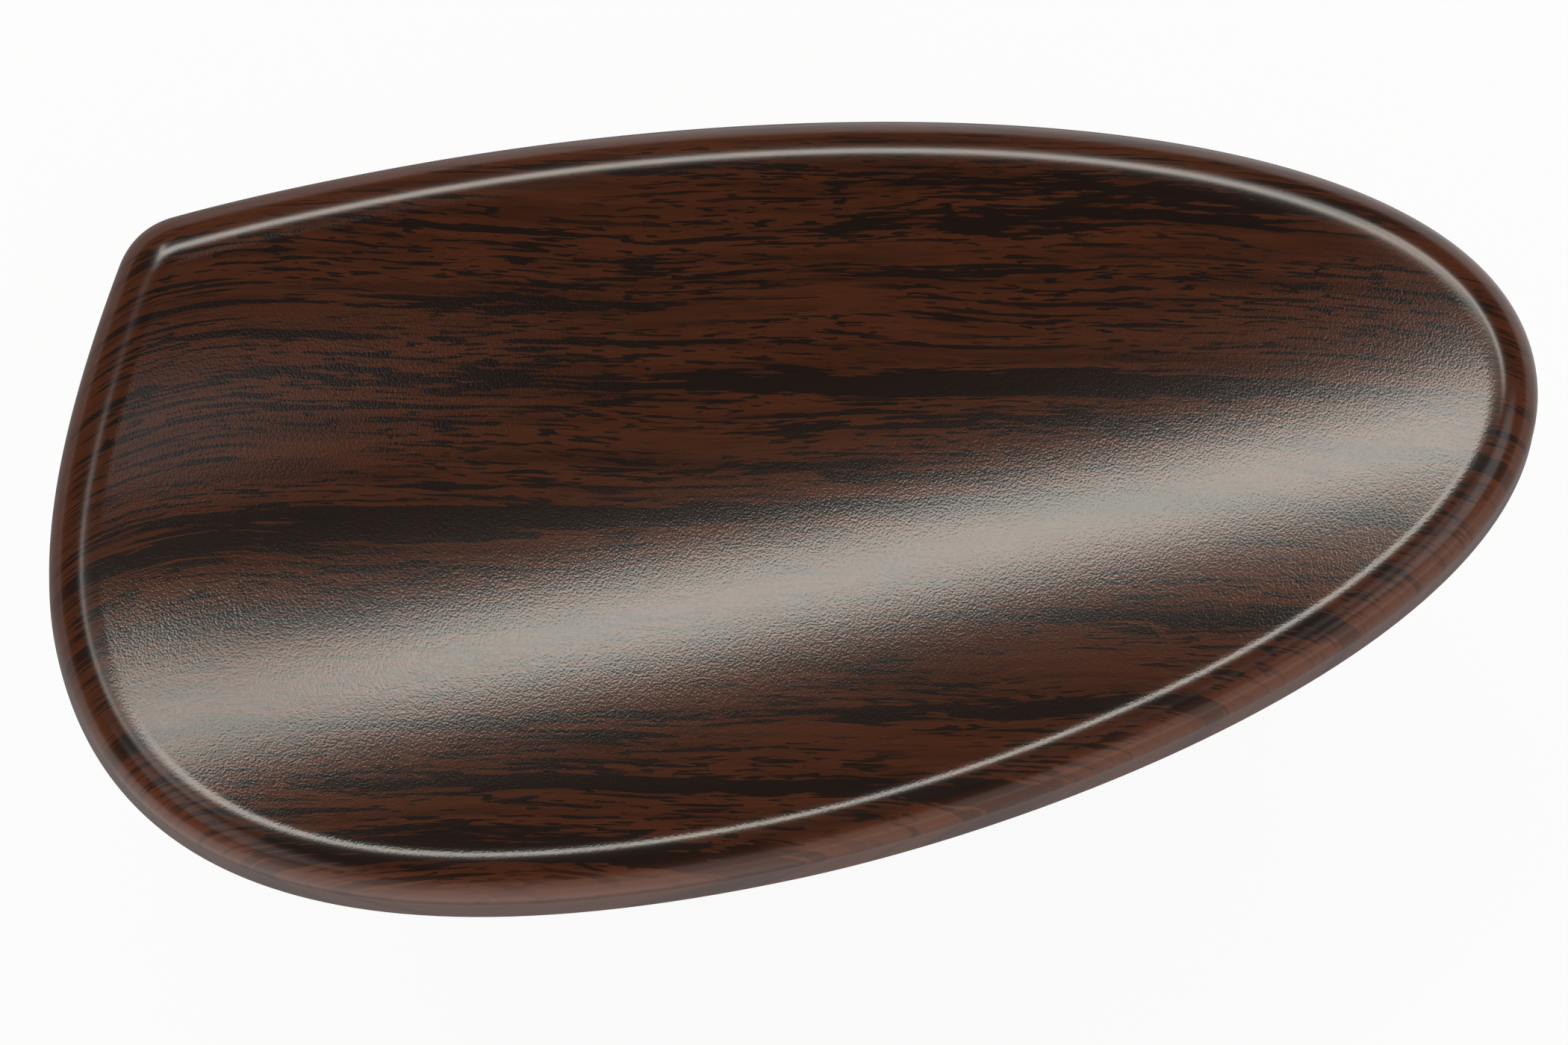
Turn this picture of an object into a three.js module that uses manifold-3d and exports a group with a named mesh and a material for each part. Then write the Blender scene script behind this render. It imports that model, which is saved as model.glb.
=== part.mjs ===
// Violin chinrest: a moulded plate on a turnbuckle clamp that grips the edge of the instrument.
// Millimetres. X runs along the instrument's edge, Y in over its belly and Z up.
// The origin is the middle of the seat, on the underside of the upper cork.

import * as THREE from 'three';
import { mergeVertices } from 'three/addons/utils/BufferGeometryUtils.js';
import Module from 'manifold-3d';

const wasm = await Module();
wasm.setup();

// Outline of the plate at its parting line, from the player's side round to the right
const nearX = 0;
const nearY = -20.5;
const nearRunRight = 24.5;
const nearRunLeft = 49.5;
const tipX = 68.5;
const tipY = 8.5;
const tipRunNear = 21;
const tipRunFar = 21.5;
const farX = -21.5;
const farY = 44;
const farRunRight = 44;
const farRunLeft = 10;
const cornerX = -42.5;
const cornerY = 43;
const cornerRound = 3.5;
const buttX = -56;
const buttY = 11;
const buttRunFar = 12;
const buttRunNear = 12.5;

// Points along each stretch of the outline
const nearRightSteps = 18;
const farRightSteps = 24;
const farLeftSteps = 6;
const cornerSteps = 4;
const buttSteps = 9;
const nearLeftSteps = 18;

// Dish that the jaw lies in: a shallow trough of two radii
const dishX = 4;
const dishY = 12.5;
const dishFloor = 18;
const dishRadiusAlong = 250;
const dishRadiusAcross = 60;
const dishRingShares = [0.12, 0.24, 0.36, 0.48, 0.6, 0.71, 0.81, 0.9, 0.96];

// Lip: the dish rounds over a crest, and the crown beyond it falls to a roll and a drafted wall
const crestRound = 1.25;
const crownWidth = 1.3;
const crownFall = 0.25;
const rollWidth = 1.6;
const rollHeight = 2.5;
const wallDraft = 1.1;
const crestSteps = 3;
const crownSteps = 2;
const rollSteps = 4;

// Shell under the dish and the skirt that hangs round it
const shellWall = 3;
const partingHeight = 16.3;
const skirtRound = 1.2;
const skirtFoot = 1.1;
const skirtChamfer = 0.5;
const skirtWall = 3.4;
const shellInset = 4.6;
const shellRingShares = [0.9, 0.75, 0.58, 0.4, 0.2];
const skirtRoundSteps = 3;

// Corks, the one under the plate and the one under the instrument's back
const seatLength = 48;
const seatWidth = 12;
const corkThickness = 2;
const seatRound = 3;
const footCorkLength = 38;
const footCorkWidth = 11;

// Leg moulded under the plate, a margin larger than its cork
const legMargin = 1;
const legRound = 4;
const legFlare = 4;
const legFlareStart = 9;
const legRings = 8;
const legCornerSteps = 5;

// Stamped brackets and the clearance round what sits in the leg
const bracketThickness = 1.6;
const bracketRound = 3;
const earRadius = 4.2;
const scallopDepth = 6.3;
const flangeReach = 11.5;
const footFlangeReach = 14;
const fitGap = 0.3;

// Countersunk screws that hold the upper bracket in the leg
const screwLength = 9;
const screwPoint = 1.8;
const screwDiameter = 2.6;
const screwHeadDiameter = 4.6;
const screwHeadHeight = 1.1;
const screwSunk = 0.2;
const screwSpreadOuter = 17;
const screwSpreadInner = 6;
const screwRowOffset = 2.6;

// Threaded studs, riveted into the ears of the brackets
const studSpacing = 34;
const studDiameter = 3.6;
const studChamfer = 0.6;
const studGrip = 7.5;
const collarDiameter = 5.6;
const collarHeight = 0.8;
const rivetDiameter = 6;
const rivetHeight = 1.2;

// Turnbuckle barrels, and the gap between the corks when the clamp stands at its middle
const jawGap = 39;
const barrelDiameter = 6.4;
const barrelLength = 28;
const barrelChamfer = 1;
const boreDepth = 11.5;
const mouthChamfer = 0.5;
const keyHoleDiameter = 2.6;
const edgeClearance = 1.5;

// One overrun serves every cut
const overrun = 1;

const roundSides = 28;
const smallSides = 20;

const legLength = seatLength + legMargin + legMargin;
const legWidth = seatWidth + legMargin + legMargin;
const studX = studSpacing / 2;
const barrelY = -(legWidth / 2 + edgeClearance + barrelDiameter / 2);
const crestInset = wallDraft + rollWidth + crownWidth;
const dishInset = crestInset + crestRound;

// Finishes
const finish = (color, roughness, metalness) => new THREE.MeshStandardMaterial({ color, roughness, metalness });
const rosewoodPrint = finish(0x45220f, 0.35, 0);
const nickel = finish(0xb9b7b0, 0.25, 1);
const corkSheet = finish(0xb08358, 0.9, 0);

const object = new THREE.Group();

function addPiece(name, geometry, material, parent = object) {
  const piece = new THREE.Mesh(geometry, material);
  piece.name = name;
  parent.add(piece);
  return piece;
}

// Solid form of a closed geometry, for cutting and joining
function solidFrom(geometry) {
  const bare = geometry.clone();
  bare.deleteAttribute('normal');
  bare.deleteAttribute('uv');
  const merged = mergeVertices(bare);
  const vertProperties = new Float32Array(merged.attributes.position.array);
  const triVerts = new Uint32Array(merged.index.array);
  return new wasm.Manifold(new wasm.Mesh({ numProp: 3, vertProperties, triVerts }));
}

function geometryFrom(solid) {
  const cut = solid.getMesh();
  const geometry = new THREE.BufferGeometry();
  geometry.setAttribute('position', new THREE.BufferAttribute(cut.vertProperties, cut.numProp));
  geometry.setIndex(new THREE.BufferAttribute(cut.triVerts, 1));
  geometry.computeVertexNormals();
  return geometry;
}

// A flat outline raised from one height to another
function slab(shape, bottom, top, curveSegments = 8) {
  const geometry = new THREE.ExtrudeGeometry(shape, { depth: top - bottom, bevelEnabled: false, curveSegments });
  return geometry.translate(0, 0, bottom);
}

function roundedRectangle(length, width, round) {
  const x = length / 2;
  const y = width / 2;
  const shape = new THREE.Shape();
  shape.moveTo(x - round, -y);
  shape.absarc(x - round, round - y, round, -Math.PI / 2, 0);
  shape.absarc(x - round, y - round, round, 0, Math.PI / 2);
  shape.absarc(round - x, y - round, round, Math.PI / 2, Math.PI);
  shape.absarc(round - x, round - y, round, Math.PI, Math.PI * 1.5);
  return shape;
}

// A turned piece about the Z axis, from a profile of [radius, height] pairs
function turned(profile, sides = roundSides) {
  const points = profile.map(([radius, height]) => new THREE.Vector2(radius, height));
  return new THREE.LatheGeometry(points, sides).rotateX(Math.PI / 2);
}

// A pin between two heights, for holes
function pin(diameter, bottom, top, sides = smallSides) {
  return turned([[0, bottom], [diameter / 2, bottom], [diameter / 2, top], [0, top]], sides);
}

// Closed skin over a run of rings that starts and ends in a single point
function skinOver(rings) {
  const count = rings[1].length;
  const positions = [];
  const index = [];
  const first = rings.map((ring) => {
    const start = positions.length / 3;
    ring.forEach((point) => positions.push(point.x, point.y, point.z));
    return start;
  });
  for (let k = 0; k + 1 < rings.length; k += 1) {
    for (let i = 0; i < count; i += 1) {
      const next = (i + 1) % count;
      const here = first[k] + (rings[k].length > 1 ? i : 0);
      const hereNext = first[k] + (rings[k].length > 1 ? next : 0);
      const there = first[k + 1] + (rings[k + 1].length > 1 ? i : 0);
      const thereNext = first[k + 1] + (rings[k + 1].length > 1 ? next : 0);
      if (there !== thereNext) index.push(here, there, thereNext);
      if (here !== hereNext) index.push(here, thereNext, hereNext);
    }
  }
  const geometry = new THREE.BufferGeometry();
  geometry.setAttribute('position', new THREE.Float32BufferAttribute(positions, 3));
  geometry.setIndex(index);
  return geometry;
}

// Outline of the plate as stations: a point, its outward normal and whether it lies on the corner
function plateStations() {
  const at = (x, y) => new THREE.Vector2(x, y);
  const corner = at(cornerX, cornerY);
  const farHandle = at(farX - farRunLeft, farY);
  const buttHandle = at(buttX, buttY + buttRunFar);
  const towardFar = farHandle.clone().sub(corner).normalize();
  const towardButt = buttHandle.clone().sub(corner).normalize();
  const cornerStart = corner.clone().addScaledVector(towardFar, cornerRound);
  const cornerEnd = corner.clone().addScaledVector(towardButt, cornerRound);
  const near = at(nearX, nearY);
  const tip = at(tipX, tipY);
  const far = at(farX, farY);
  const butt = at(buttX, buttY);
  const bezier = (...points) => new THREE.CubicBezierCurve(...points);
  const stretches = [
    [bezier(near, at(nearX + nearRunRight, nearY), at(tipX, tipY - tipRunNear), tip), nearRightSteps],
    [bezier(tip, at(tipX, tipY + tipRunFar), at(farX + farRunRight, farY), far), farRightSteps],
    [new THREE.QuadraticBezierCurve(far, farHandle, cornerStart), farLeftSteps],
    [new THREE.QuadraticBezierCurve(cornerStart, corner, cornerEnd), cornerSteps],
    [new THREE.QuadraticBezierCurve(cornerEnd, buttHandle, butt), buttSteps],
    [bezier(butt, at(buttX, buttY - buttRunNear), at(nearX - nearRunLeft, nearY), near), nearLeftSteps],
  ];
  const normalTo = (direction) => at(direction.y, -direction.x);
  const before = normalTo(towardFar.clone().negate());
  const after = normalTo(towardButt);
  const mitre = before.clone().add(after).divideScalar(1 + before.dot(after));
  const cornerReach = cornerRound / Math.tan(before.angleTo(after) / 2);
  const stations = [];
  for (const [curve, steps] of stretches) {
    const onCorner = curve.v1 === corner;
    for (let i = 0; i < steps; i += 1) {
      const point = curve.getPoint(i / steps);
      const normal = normalTo(curve.getTangent(i / steps));
      const isCorner = onCorner || point.distanceTo(cornerEnd) === 0;
      stations.push({ point, normal, corner: isCorner ? { corner, mitre, cornerReach } : null });
    }
  }
  return stations;
}

// A station moved in from the outline. The corner keeps a small round however far in it goes.
const innerCornerShare = 0.2;

function inset({ point, normal, corner }, distance) {
  if (!corner) return point.clone().addScaledVector(normal, -distance);
  const kept = Math.max(1 - distance / corner.cornerReach, innerCornerShare);
  const apex = corner.corner.clone().addScaledVector(corner.mitre, -distance);
  return apex.addScaledVector(point.clone().sub(corner.corner), kept);
}

const stations = plateStations();

function dishHeight({ x, y }) {
  const along = (x - dishX) ** 2 / (2 * dishRadiusAlong);
  const across = (y - dishY) ** 2 / (2 * dishRadiusAcross);
  return dishFloor + along + across;
}

const dishCentre = new THREE.Vector2(dishX, dishY);
const raised = (point, height) => new THREE.Vector3(point.x, point.y, height);
const ringAt = (distance, heightOf) => stations.map((station) => {
  const point = inset(station, distance);
  return raised(point, heightOf(point, station));
});
const innerRing = (distance, share, heightOf) => stations.map((station) => {
  const point = inset(station, distance).lerp(dishCentre, 1 - share);
  return raised(point, heightOf(point));
});

// Height of the lip a share of the way from the dish's edge to its crest, where it levels out
function lipHeight(station, share) {
  const dishEdge = dishHeight(inset(station, dishInset));
  const risenOn = dishHeight(inset(station, crestInset));
  return THREE.MathUtils.lerp(dishEdge, risenOn, share - share ** 2 / 2);
}

const crestHeight = (station) => lipHeight(station, 1);

// Rings of the dish and its lip, from the middle of the dish out to the parting line
function upperRings() {
  const rings = [[raised(dishCentre, dishFloor)]];
  for (const share of dishRingShares) rings.push(innerRing(dishInset, share, dishHeight));
  rings.push(ringAt(dishInset, dishHeight));
  for (let i = 1; i <= crestSteps; i += 1) {
    const share = i / crestSteps;
    rings.push(ringAt(dishInset - crestRound * share, (point, station) => lipHeight(station, share)));
  }
  for (let i = 1; i <= crownSteps; i += 1) {
    const share = i / crownSteps;
    const drop = crownFall * share ** 2;
    rings.push(ringAt(crestInset - crownWidth * share, (point, station) => crestHeight(station) - drop));
  }
  const crownSlope = 2 * crownFall / crownWidth;
  const slopeShare = crownSlope * rollWidth / rollHeight;
  const rollStart = Math.asin(slopeShare / (1 - slopeShare));
  for (let i = 1; i <= rollSteps; i += 1) {
    const turn = THREE.MathUtils.lerp(rollStart, Math.PI / 2, i / rollSteps);
    const outShare = (Math.sin(turn) - Math.sin(rollStart)) / (1 - Math.sin(rollStart));
    const drop = crownFall + rollHeight * (1 - Math.cos(turn) / Math.cos(rollStart));
    const distance = wallDraft + rollWidth * (1 - outShare);
    rings.push(ringAt(distance, (point, station) => crestHeight(station) - drop));
  }
  rings.push(ringAt(0, () => partingHeight));
  return rings;
}

// Rings of the skirt's edge and the hollow underside, from the parting line to the middle
function lowerRings() {
  const rings = [];
  const foot = partingHeight - skirtRound;
  for (let i = 1; i <= skirtRoundSteps; i += 1) {
    const turn = (Math.PI / 2) * (i / skirtRoundSteps);
    const distance = skirtRound * (1 - Math.cos(turn));
    rings.push(ringAt(distance, () => partingHeight - skirtRound * Math.sin(turn)));
  }
  rings.push(ringAt(skirtRound + skirtFoot, () => foot));
  rings.push(ringAt(skirtRound + skirtFoot + skirtChamfer, () => foot + skirtChamfer));
  const underside = (point) => dishHeight(point) - shellWall;
  rings.push(ringAt(skirtWall, underside));
  rings.push(ringAt(shellInset, underside));
  for (const share of shellRingShares) rings.push(innerRing(shellInset, share, underside));
  rings.push([raised(dishCentre, dishFloor - shellWall)]);
  return rings;
}

// Everything below the middle of the shell, which trims the top of the leg
function belowShell() {
  const middle = (point) => dishHeight(point) - shellWall / 2;
  const rings = [[raised(dishCentre, dishFloor - shellWall / 2)]];
  for (const share of [...shellRingShares].reverse()) rings.push(innerRing(shellInset, share, middle));
  rings.push(ringAt(shellInset, middle));
  rings.push(ringAt(shellInset, () => 0));
  rings.push([raised(dishCentre, 0)]);
  return solidFrom(skinOver(rings));
}

// The leg, straight above its cork and flared where it runs into the shell
function legForm() {
  const top = dishHeight({ x: legLength / 2, y: -legWidth / 2 });
  const rings = [[raised({ x: 0, y: 0 }, top)]];
  for (let i = legRings; i >= 0; i -= 1) {
    const height = i === 0 ? seatTop : THREE.MathUtils.lerp(legFlareStart, top, (i - 1) / (legRings - 1));
    const flare = legFlare * (Math.max(height - legFlareStart, 0) / (top - legFlareStart)) ** 2;
    const shape = roundedRectangle(legLength + flare * 2, legWidth + flare * 2, legRound + flare);
    rings.push(shape.getPoints(legCornerSteps).map((point) => raised(point, height)));
  }
  rings.push([raised({ x: 0, y: 0 }, seatTop)]);
  return solidFrom(skinOver(rings));
}

// Outline of a bracket: a flange with round corners, and an ear round each stud
function bracketShape(reach, half) {
  const inner = reach - legWidth / 2;
  const shape = new THREE.Shape();
  shape.moveTo(-half, barrelY);
  shape.lineTo(-half, inner - bracketRound);
  shape.absarc(bracketRound - half, inner - bracketRound, bracketRound, Math.PI, Math.PI / 2, true);
  shape.absarc(half - bracketRound, inner - bracketRound, bracketRound, Math.PI / 2, 0, true);
  shape.lineTo(half, barrelY);
  shape.absarc(studX, barrelY, half - studX, 0, -Math.PI, true);
  const earInside = studX - earRadius;
  const scallop = barrelY + scallopDepth;
  shape.bezierCurveTo(earInside, scallop, -earInside, scallop, -earInside, barrelY);
  shape.absarc(-studX, barrelY, half - studX, 0, -Math.PI, true);
  return shape;
}

function studHole(side) {
  const hole = new THREE.Path();
  hole.absarc(side * studX, barrelY, studDiameter / 2 + fitGap, 0, Math.PI * 2);
  return hole;
}

const flangeHalf = studX + earRadius;
const seatTop = corkThickness;
const bracketTop = seatTop + bracketThickness;
const screwPlaces = [];
for (const side of [-1, 1]) {
  screwPlaces.push([side * screwSpreadOuter, -screwRowOffset]);
  screwPlaces.push([side * screwSpreadInner, screwRowOffset]);
}

// Countersunk screw with its head down, cut to any clearance
function screwForm(clearance, length) {
  const shank = screwDiameter / 2 + clearance;
  const head = screwHeadDiameter / 2 + clearance;
  return turned([
    [0, 0],
    [head, 0],
    [shank, screwHeadHeight],
    [shank, length - screwPoint],
    [0, length],
  ], smallSides);
}

// The plate: one moulding with its leg, pocketed for the bracket and bored for the screws
function chinPlate() {
  const shell = solidFrom(skinOver([...upperRings(), ...lowerRings()]));
  let plate = shell.add(legForm().intersect(belowShell()));
  const pocketHalf = flangeHalf + fitGap;
  const pocketDepth = bracketThickness + fitGap;
  const pocketShape = bracketShape(flangeReach + fitGap, pocketHalf);
  plate = plate.subtract(solidFrom(slab(pocketShape, seatTop - overrun, seatTop + pocketDepth)));
  for (const [x, y] of screwPlaces) {
    const bore = screwForm(fitGap, screwLength + fitGap).translate(x, y, seatTop + screwSunk);
    plate = plate.subtract(solidFrom(bore));
  }
  return geometryFrom(plate);
}

function upperBracket() {
  const shape = bracketShape(flangeReach, flangeHalf);
  shape.holes.push(studHole(-1), studHole(1));
  let bracket = solidFrom(slab(shape, seatTop, bracketTop));
  const mouth = screwHeadDiameter / 2 + fitGap;
  for (const [x, y] of screwPlaces) {
    const sink = screwForm(fitGap, screwLength).translate(x, y, seatTop + screwSunk);
    bracket = bracket.subtract(solidFrom(sink));
    const relief = pin(mouth + mouth, seatTop - overrun, seatTop + screwSunk).translate(x, y, 0);
    bracket = bracket.subtract(solidFrom(relief));
  }
  return geometryFrom(bracket);
}

// A stud with its rivet head at the bottom, its collar on the ear and its thread upwards
function stud(reach) {
  const radius = studDiameter / 2;
  const collarFoot = rivetHeight + bracketThickness;
  return turned([
    [0, 0],
    [rivetDiameter / 2 - rivetHeight / 2, 0],
    [rivetDiameter / 2, rivetHeight / 2],
    [rivetDiameter / 2, rivetHeight],
    [radius, rivetHeight],
    [radius, collarFoot],
    [collarDiameter / 2, collarFoot],
    [collarDiameter / 2, collarFoot + collarHeight],
    [radius, collarFoot + collarHeight],
    [radius, collarFoot + reach - studChamfer],
    [radius - studChamfer, collarFoot + reach],
    [0, collarFoot + reach],
  ], smallSides);
}

// Bore in the top end of a barrel, with a chamfered mouth
function barrelBore() {
  const bore = studDiameter / 2 + fitGap;
  const mouth = bore + mouthChamfer;
  const end = barrelLength / 2;
  return turned([
    [0, end - boreDepth],
    [bore, end - boreDepth],
    [bore, end - mouthChamfer],
    [mouth, end],
    [mouth, end + overrun],
    [0, end + overrun],
  ]);
}

// Barrel about its middle: bored from both ends for the studs, with a cross hole for the key
function barrel() {
  const outer = barrelDiameter / 2;
  const end = barrelLength / 2;
  const rod = solidFrom(turned([
    [0, -end],
    [outer - barrelChamfer, -end],
    [outer, barrelChamfer - end],
    [outer, end - barrelChamfer],
    [outer - barrelChamfer, end],
    [0, end],
  ]));
  const upperBore = solidFrom(barrelBore());
  const lowerBore = solidFrom(barrelBore().rotateX(Math.PI));
  const keyHole = pin(keyHoleDiameter, -barrelDiameter, barrelDiameter).rotateY(Math.PI / 2);
  return geometryFrom(rod.subtract(upperBore).subtract(lowerBore).subtract(solidFrom(keyHole)));
}

// Heights that the clamp hangs from, measured down from the seat
const footTop = -jawGap - corkThickness;
const barrelMiddle = (seatTop + footTop) / 2;
const studExposed = (seatTop - footTop - barrelLength) / 2;
const studReach = studExposed + studGrip;

addPiece('chin_plate', chinPlate(), rosewoodPrint);
addPiece('upper_bracket', upperBracket(), nickel);
addPiece('upper_cork', slab(roundedRectangle(seatLength, seatWidth, seatRound), 0, seatTop), corkSheet);
screwPlaces.forEach(([x, y], i) => {
  const screw = addPiece(`bracket_screw_${i + 1}`, screwForm(0, screwLength), nickel);
  screw.position.set(x, y, seatTop + screwSunk);
});

const foot = new THREE.Group();
foot.position.z = footTop;
object.add(foot);
const footShape = bracketShape(footFlangeReach, flangeHalf);
footShape.holes.push(studHole(-1), studHole(1));
addPiece('lower_bracket', slab(footShape, -bracketThickness, 0), nickel, foot);
const footCork = roundedRectangle(footCorkLength, footCorkWidth, seatRound);
addPiece('lower_cork', slab(footCork, 0, corkThickness), corkSheet, foot);

for (const [side, hand] of [[-1, 'left'], [1, 'right']]) {
  const upper = addPiece(`upper_stud_${hand}`, stud(studReach).rotateX(Math.PI), nickel);
  upper.position.set(side * studX, barrelY, bracketTop + rivetHeight);
  const lower = addPiece(`lower_stud_${hand}`, stud(studReach), nickel, foot);
  lower.position.set(side * studX, barrelY, -bracketThickness - rivetHeight);
  const turnbuckle = addPiece(`barrel_${hand}`, barrel(), nickel);
  turnbuckle.position.set(side * studX, barrelY, barrelMiddle);
}

export default object;
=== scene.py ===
import math

import bpy
import numpy as np
from mathutils import Matrix, Vector
from mathutils.kdtree import KDTree


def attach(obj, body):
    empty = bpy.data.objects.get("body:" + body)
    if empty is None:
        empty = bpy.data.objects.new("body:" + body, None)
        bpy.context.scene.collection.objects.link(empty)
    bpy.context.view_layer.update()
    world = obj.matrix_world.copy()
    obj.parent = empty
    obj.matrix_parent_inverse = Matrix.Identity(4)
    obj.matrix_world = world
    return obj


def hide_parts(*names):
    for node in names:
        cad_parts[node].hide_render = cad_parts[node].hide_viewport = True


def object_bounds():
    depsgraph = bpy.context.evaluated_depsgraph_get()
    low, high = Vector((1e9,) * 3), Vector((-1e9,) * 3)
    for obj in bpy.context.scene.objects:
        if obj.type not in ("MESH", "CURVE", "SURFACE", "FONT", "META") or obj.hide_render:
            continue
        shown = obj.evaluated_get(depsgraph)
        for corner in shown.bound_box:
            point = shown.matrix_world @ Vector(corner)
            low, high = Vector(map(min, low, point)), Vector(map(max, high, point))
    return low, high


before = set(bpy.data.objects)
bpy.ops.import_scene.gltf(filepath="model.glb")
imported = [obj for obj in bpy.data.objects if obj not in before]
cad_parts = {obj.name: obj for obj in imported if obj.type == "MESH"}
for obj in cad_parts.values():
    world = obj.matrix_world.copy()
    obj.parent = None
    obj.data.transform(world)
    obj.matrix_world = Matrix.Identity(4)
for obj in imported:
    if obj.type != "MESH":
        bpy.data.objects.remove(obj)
cad_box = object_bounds()
mm = 0.001

# Chin plate. One hollow moulding: a shallow trough for the jaw with a rolled lip, a skirt and a leg
# for the clamp. It is dipped in a wood-grain film and lacquered. The trough has a fine leather
# grain, and the lip is smooth.

near_x = 0 * mm
near_y = -20.5 * mm
near_run_right = 24.5 * mm
near_run_left = 49.5 * mm
tip_x = 68.5 * mm
tip_y = 8.5 * mm
tip_run_near = 21 * mm
tip_run_far = 21.5 * mm
far_x = -21.5 * mm
far_y = 44 * mm
far_run_right = 44 * mm
far_run_left = 10 * mm
corner_x = -42.5 * mm
corner_y = 43 * mm
corner_round = 3.5 * mm
butt_x = -56 * mm
butt_y = 11 * mm
butt_run_far = 12 * mm
butt_run_near = 12.5 * mm
near_right_steps = 64
far_right_steps = 84
far_left_steps = 16
corner_steps = 28
butt_steps = 30
near_left_steps = 64


def unit(vector):
    return vector / np.linalg.norm(vector)


def curve_points(knots, steps):
    """Points along a Bezier curve, without its last, and the curve's heading at each."""
    knots = np.array(knots, float)
    share = np.arange(steps) / steps

    def spread(points):
        degree = len(points) - 1
        total = 0
        for k, point in enumerate(points):
            weight = math.comb(degree, k) * share**k * (1 - share) ** (degree - k)
            total = total + np.outer(weight, point)
        return total

    heading = spread(np.diff(knots, axis=0))
    return spread(knots), heading / np.linalg.norm(heading, axis=1, keepdims=True)


corner = np.array([corner_x, corner_y])
far_handle = np.array([far_x - far_run_left, far_y])
butt_handle = np.array([butt_x, butt_y + butt_run_far])
toward_far = unit(far_handle - corner)
toward_butt = unit(butt_handle - corner)
corner_start = corner + toward_far * corner_round
corner_end = corner + toward_butt * corner_round
near = (near_x, near_y)
tip = (tip_x, tip_y)
far = (far_x, far_y)
butt = (butt_x, butt_y)
near_right = (near_x + near_run_right, near_y)
tip_near = (tip_x, tip_y - tip_run_near)
tip_far = (tip_x, tip_y + tip_run_far)
far_right = (far_x + far_run_right, far_y)
butt_near = (butt_x, butt_y - butt_run_near)
near_left = (near_x - near_run_left, near_y)
stretches = [
    ([near, near_right, tip_near, tip], near_right_steps),
    ([tip, tip_far, far_right, far], far_right_steps),
    ([far, far_handle, corner_start], far_left_steps),
    ([corner_start, corner, corner_end], corner_steps),
    ([corner_end, butt_handle, butt], butt_steps),
    ([butt, butt_near, near_left, near], near_left_steps),
]
traced = [curve_points(knots, steps) for knots, steps in stretches]
outline = np.vstack([points for points, heading in traced])
headings = np.vstack([heading for points, heading in traced])
outward = np.column_stack([headings[:, 1], -headings[:, 0]])
corner_first = near_right_steps + far_right_steps + far_left_steps
on_corner = slice(corner_first, corner_first + corner_steps + 1)
before_corner = np.array([-toward_far[1], toward_far[0]])
after_corner = np.array([toward_butt[1], -toward_butt[0]])
mitre = (before_corner + after_corner) / (1 + before_corner @ after_corner)
corner_turn = math.acos(before_corner @ after_corner)
corner_reach = corner_round / math.tan(corner_turn / 2)

inner_corner_share = 0.2


def inset(distance):
    """The outline moved in. Its corner keeps a small round however far in it goes."""
    moved = outline - outward * distance
    kept = max(1 - distance / corner_reach, inner_corner_share)
    moved[on_corner] = corner - mitre * distance + (outline[on_corner] - corner) * kept
    return moved


dish_x = 4 * mm
dish_y = 12.5 * mm
dish_floor = 18 * mm
dish_radius_along = 250 * mm
dish_radius_across = 60 * mm
dish_rings = 22


def dish_height(points):
    along = (points[:, 0] - dish_x) ** 2 / (2 * dish_radius_along)
    across = (points[:, 1] - dish_y) ** 2 / (2 * dish_radius_across)
    return dish_floor + along + across


def raised(points, heights):
    return np.column_stack([points, np.broadcast_to(heights, len(points))])


def eased(before, edge, after, steps):
    """Rings that round off an edge between the ring before it and the ring after it."""
    shares = np.linspace(0, 1, steps + 1)
    return [(1 - t) ** 2 * before + 2 * t * (1 - t) * edge + t**2 * after for t in shares]


def skin(name, rings):
    """A closed mesh over rings of points that run from a top point down to a bottom point."""
    count = len(rings[1])
    starts = np.cumsum([0] + [len(ring) for ring in rings])
    faces = []

    def number(k, i):
        """The number of a point of a ring. An end point counts as the same one all round."""
        return int(starts[k] + (i % count if len(rings[k]) > 1 else 0))

    for k in range(len(rings) - 1):
        for i in range(count):
            face = number(k, i), number(k + 1, i), number(k + 1, i + 1), number(k, i + 1)
            faces.append(list(dict.fromkeys(face)))
    mesh = bpy.data.meshes.new(name)
    mesh.from_pydata(np.vstack(rings).tolist(), [], faces)
    mesh.update()
    piece = bpy.data.objects.new(name, mesh)
    bpy.context.scene.collection.objects.link(piece)
    return piece


crest_round = 1.25 * mm
crown_width = 1.3 * mm
crown_fall = 0.25 * mm
roll_width = 2.1 * mm
roll_height = 3.2 * mm
wall_draft = 0.6 * mm
crest_steps = 8
crown_steps = 6
roll_steps = 20
wall_steps = 6
crest_inset = wall_draft + roll_width + crown_width
dish_inset = crest_inset + crest_round
dish_centre = np.array([[dish_x, dish_y]])
dish_edge = dish_height(inset(dish_inset))
risen_on = dish_height(inset(crest_inset))


def toward_centre(distance, share):
    return dish_centre + (inset(distance) - dish_centre) * share


def lip_height(share):
    """Heights a share of the way from the dish's edge to the crest, where the lip levels out."""
    return dish_edge + (risen_on - dish_edge) * (share - share**2 / 2)


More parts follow.
